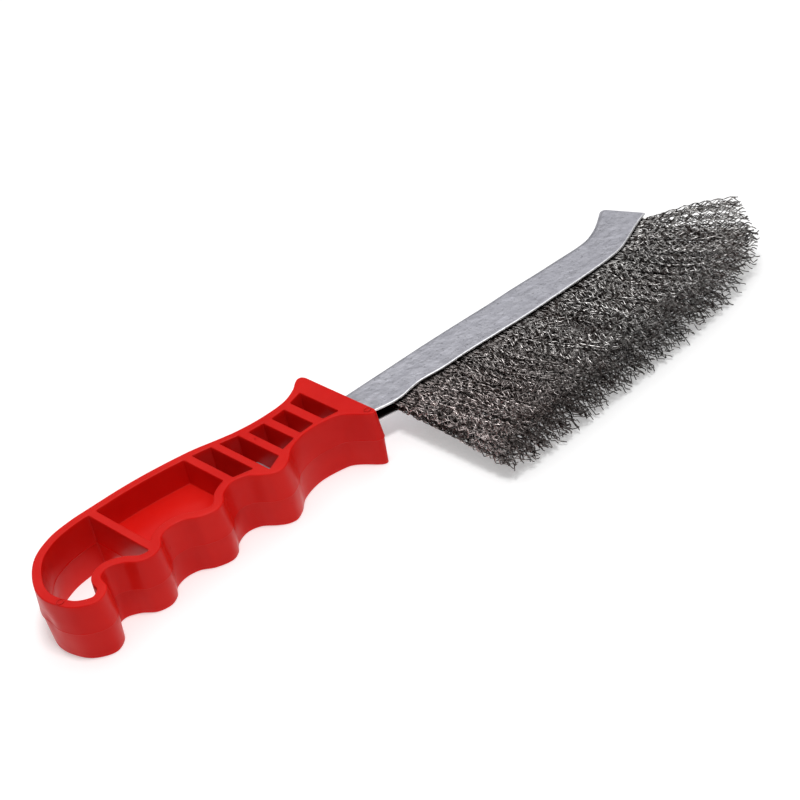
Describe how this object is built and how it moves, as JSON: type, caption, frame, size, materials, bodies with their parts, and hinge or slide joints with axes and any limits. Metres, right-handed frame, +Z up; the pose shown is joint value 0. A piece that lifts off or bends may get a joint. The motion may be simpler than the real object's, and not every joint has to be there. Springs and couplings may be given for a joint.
{
  "type": "wire brush",
  "caption": "Hand wire brush with a ribbed plastic knife handle and a fan of crimped steel wires clamped in a folded steel channel.",
  "frame": {"origin": "bottom centre of the brush's box, as it lies on its side on a table", "axes": "+X from the butt of the handle to the tip, -Y the way the wires point, +Z up, across the brush's thickness"},
  "size_m": [0.27, 0.0864, 0.02],
  "materials": {
    "red_plastic": "satin injection-moulded polypropylene",
    "galvanised_steel": "dull galvanised sheet with small dents and scratches",
    "core_steel": "drawn steel wire",
    "bristle_steel": "crimped hardened steel wire, dark with bright flanks"
  },
  "bodies": {
    "root": {"handle": "red_plastic", "steel_channel": "galvanised_steel", "core_wire": "core_steel", "bristle_bundle_01": "bristle_steel", "bristle_bundle_02": "bristle_steel", "bristle_bundle_03": "bristle_steel", "bristle_bundle_04": "bristle_steel", "bristle_bundle_05": "bristle_steel", "bristle_bundle_06": "bristle_steel", "bristle_bundle_07": "bristle_steel", "bristle_bundle_08": "bristle_steel", "bristle_bundle_09": "bristle_steel", "bristle_bundle_10": "bristle_steel", "bristle_bundle_11": "bristle_steel", "bristle_bundle_12": "bristle_steel", "bristle_bundle_13": "bristle_steel", "bristle_bundle_14": "bristle_steel", "bristle_bundle_15": "bristle_steel", "bristle_bundle_16": "bristle_steel", "bristle_bundle_17": "bristle_steel", "bristle_bundle_18": "bristle_steel", "bristle_bundle_19": "bristle_steel", "bristle_bundle_20": "bristle_steel", "bristle_bundle_21": "bristle_steel", "bristle_bundle_22": "bristle_steel", "bristle_bundle_23": "bristle_steel", "bristle_bundle_24": "bristle_steel", "bristle_bundle_25": "bristle_steel", "bristle_bundle_26": "bristle_steel", "bristle_bundle_27": "bristle_steel", "bristle_bundle_28": "bristle_steel", "bristle_bundle_29": "bristle_steel", "bristle_bundle_30": "bristle_steel", "bristle_bundle_31": "bristle_steel", "bristle_bundle_32": "bristle_steel", "bristle_bundle_33": "bristle_steel", "bristle_bundle_34": "bristle_steel", "bristle_bundle_35": "bristle_steel", "bristle_bundle_36": "bristle_steel"}
  },
  "joints": []
}
